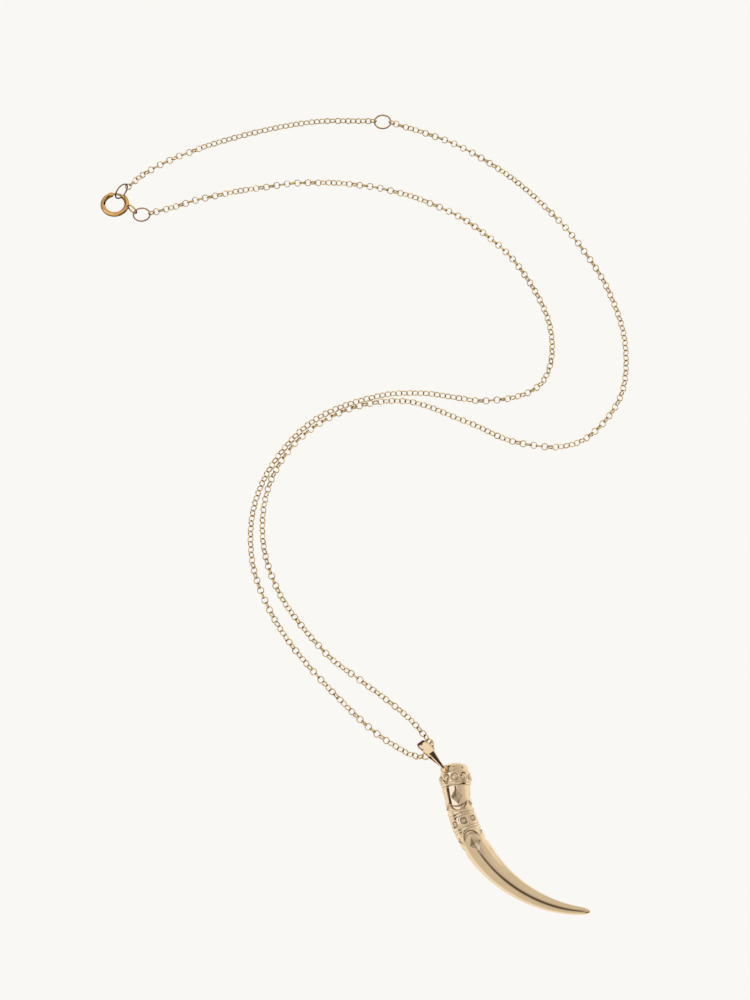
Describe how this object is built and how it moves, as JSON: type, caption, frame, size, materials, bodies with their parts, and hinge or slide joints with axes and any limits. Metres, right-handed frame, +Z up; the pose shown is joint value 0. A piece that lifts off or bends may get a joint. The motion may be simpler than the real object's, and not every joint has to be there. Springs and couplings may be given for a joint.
{
  "type": "tusk pendant necklace",
  "caption": "Fine round-link chain with a bolt-ring clasp, laid out in a doubled curve, holding a curved tusk pendant with a cast, banded and starred cap on a tapered bail",
  "frame": {"origin": "The middle of the necklace's footprint as it lies, on the surface it lies on", "axes": "+X to the right in the picture, +Y up the picture towards the adjuster ring, +Z up off the surface"},
  "size_m": [0.0875, 0.1368, 0.0052],
  "materials": {
    "pale_gold": "polished pale yellow gold",
    "chain_gold": "polished yellow gold wire",
    "warm_gold": "polished warm yellow gold"
  },
  "bodies": {
    "necklace": {"tusk": "pale_gold", "bail": "pale_gold", "chain_inner": "chain_gold", "chain_outer": "chain_gold", "chain_end": "chain_gold", "adjuster_ring": "warm_gold", "joining_ring": "warm_gold", "end_ring": "warm_gold", "clasp_case": "warm_gold"},
    "bolt": {"clasp_bolt": "warm_gold"}
  },
  "joints": [
    {"name": "bolt_slide", "type": "hinge", "parent": "necklace", "child": "bolt", "pos_m": [-0.0412, 0.0511, 0.00076], "axis": [0, 0.1045, 0.9945], "range_deg": [0, 54], "stiffness_Nm_per_rad": 0.002, "springref_deg": -28.65}
  ]
}
